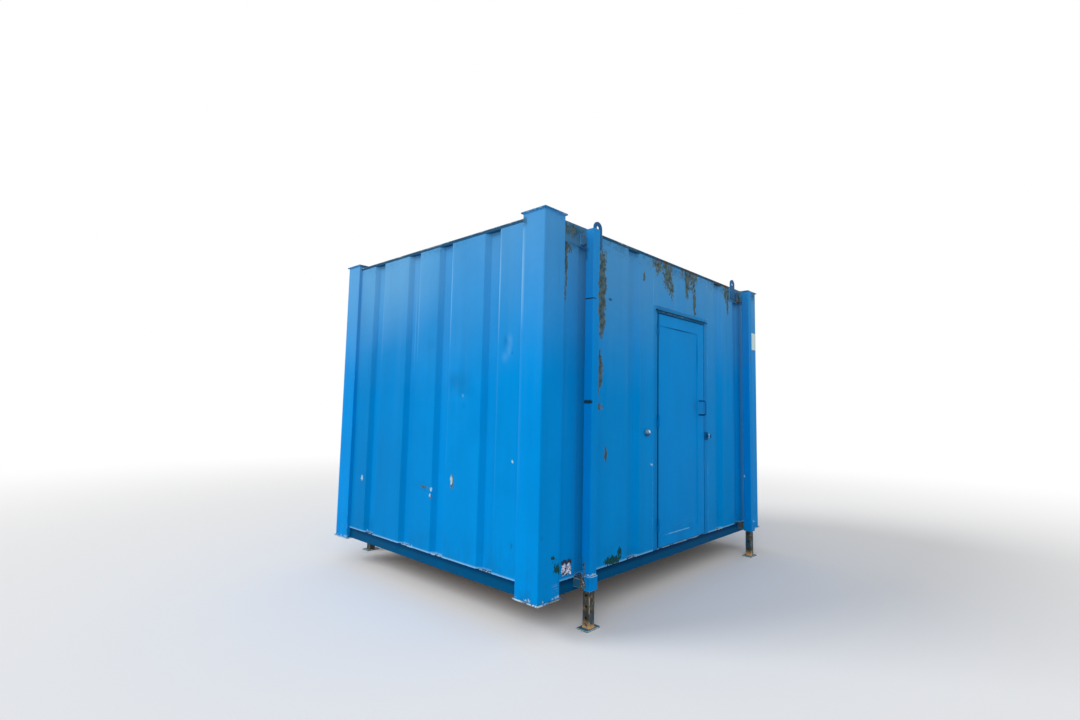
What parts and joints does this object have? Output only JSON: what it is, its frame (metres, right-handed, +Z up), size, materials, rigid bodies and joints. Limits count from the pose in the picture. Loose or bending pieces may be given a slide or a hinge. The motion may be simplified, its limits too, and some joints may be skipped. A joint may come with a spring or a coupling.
{
  "type": "portable site cabin",
  "caption": "Portable steel site cabin with pressed walls, an outward-opening door, lifting lugs and telescopic jack legs that slide out of tubes along its long sides.",
  "frame": {"origin": "on the ground under the middle of the cabin", "axes": "+Z up, +X along the long side to the right as seen facing the door, -Y out of the door wall"},
  "size_m": [3.66, 2.975, 2.9429],
  "materials": {
    "frame_paint": "worn gloss paint",
    "plate_paint": "chipped paint over rust",
    "wall_paint": "worn gloss paint",
    "rail_paint": "weathered paint",
    "joist_steel": "primed",
    "deck_wood": "worn plywood",
    "roof_paint": "weathered paint",
    "ceiling_board": "painted board",
    "door_frame_paint": "worn gloss paint",
    "threshold_steel": "scuffed",
    "door_paint": "worn gloss paint",
    "handle_paint": "worn paint",
    "hinge_steel": "painted over, worn",
    "drip_paint": "rusted paint",
    "rusty_plate": "rusted",
    "buffer_paint": "chipped paint",
    "tube_paint": "worn paint",
    "bracket_paint": "rusted paint",
    "rusty_bracket": "rusted",
    "lug_paint": "worn paint",
    "rusty_leg": "rusted",
    "rusty_foot": "rusted"
  },
  "bodies": {
    "cabin": {"corner_post_front_left": "frame_paint", "corner_post_front_right": "frame_paint", "corner_post_back_left": "frame_paint", "corner_post_back_right": "frame_paint", "stacking_plates_lower": "plate_paint", "stacking_plates_upper": "plate_paint", "front_wall_left": "wall_paint", "front_wall_right": "wall_paint", "front_wall_over_door": "wall_paint", "back_wall": "wall_paint", "left_wall": "wall_paint", "right_wall": "wall_paint", "sill_rails": "rail_paint", "floor_joists": "joist_steel", "floor_deck": "deck_wood", "roof_rail_front": "rail_paint", "roof_rail_back": "rail_paint", "roof_rail_left": "rail_paint", "roof_rail_right": "rail_paint", "roof_sheet": "roof_paint", "ceiling_panel": "ceiling_board", "door_jamb_left": "door_frame_paint", "door_jamb_right": "door_frame_paint", "door_head": "door_frame_paint", "door_stops": "door_frame_paint", "door_threshold": "threshold_steel", "hinge_barrels_fixed": "hinge_steel", "drip_strip": "drip_paint", "lock_staple": "rusty_plate", "door_buffer": "buffer_paint", "jack_tubes": "tube_paint", "jack_brackets_upper": "bracket_paint", "jack_brackets_lower": "rusty_bracket", "lifting_lugs": "lug_paint"},
    "door": {"door_leaf": "door_paint", "door_handle": "handle_paint", "hinge_barrels_leaf": "hinge_steel"},
    "jack_leg_front_left": {"leg_front_left": "rusty_leg", "foot_plate_front_left": "rusty_foot"},
    "jack_leg_front_right": {"leg_front_right": "rusty_leg", "foot_plate_front_right": "rusty_foot"},
    "jack_leg_back_right": {"leg_back_right": "rusty_leg", "foot_plate_back_right": "rusty_foot"},
    "jack_leg_back_left": {"leg_back_left": "rusty_leg", "foot_plate_back_left": "rusty_foot"}
  },
  "joints": [
    {"name": "door_hinge", "type": "hinge", "parent": "cabin", "child": "door", "pos_m": [-0.301, -1.3455, 1.415], "axis": [0, 0, -1], "range_deg": [0, 170]},
    {"name": "jack_slide_front_left", "type": "slide", "parent": "cabin", "child": "jack_leg_front_left", "axis": [0, 0, -1], "range_m": [0, 1.2]},
    {"name": "jack_slide_front_right", "type": "slide", "parent": "cabin", "child": "jack_leg_front_right", "axis": [0, 0, -1], "range_m": [0, 1.2]},
    {"name": "jack_slide_back_right", "type": "slide", "parent": "cabin", "child": "jack_leg_back_right", "axis": [0, 0, -1], "range_m": [0, 1.2]},
    {"name": "jack_slide_back_left", "type": "slide", "parent": "cabin", "child": "jack_leg_back_left", "axis": [0, 0, -1], "range_m": [0, 1.2]}
  ]
}
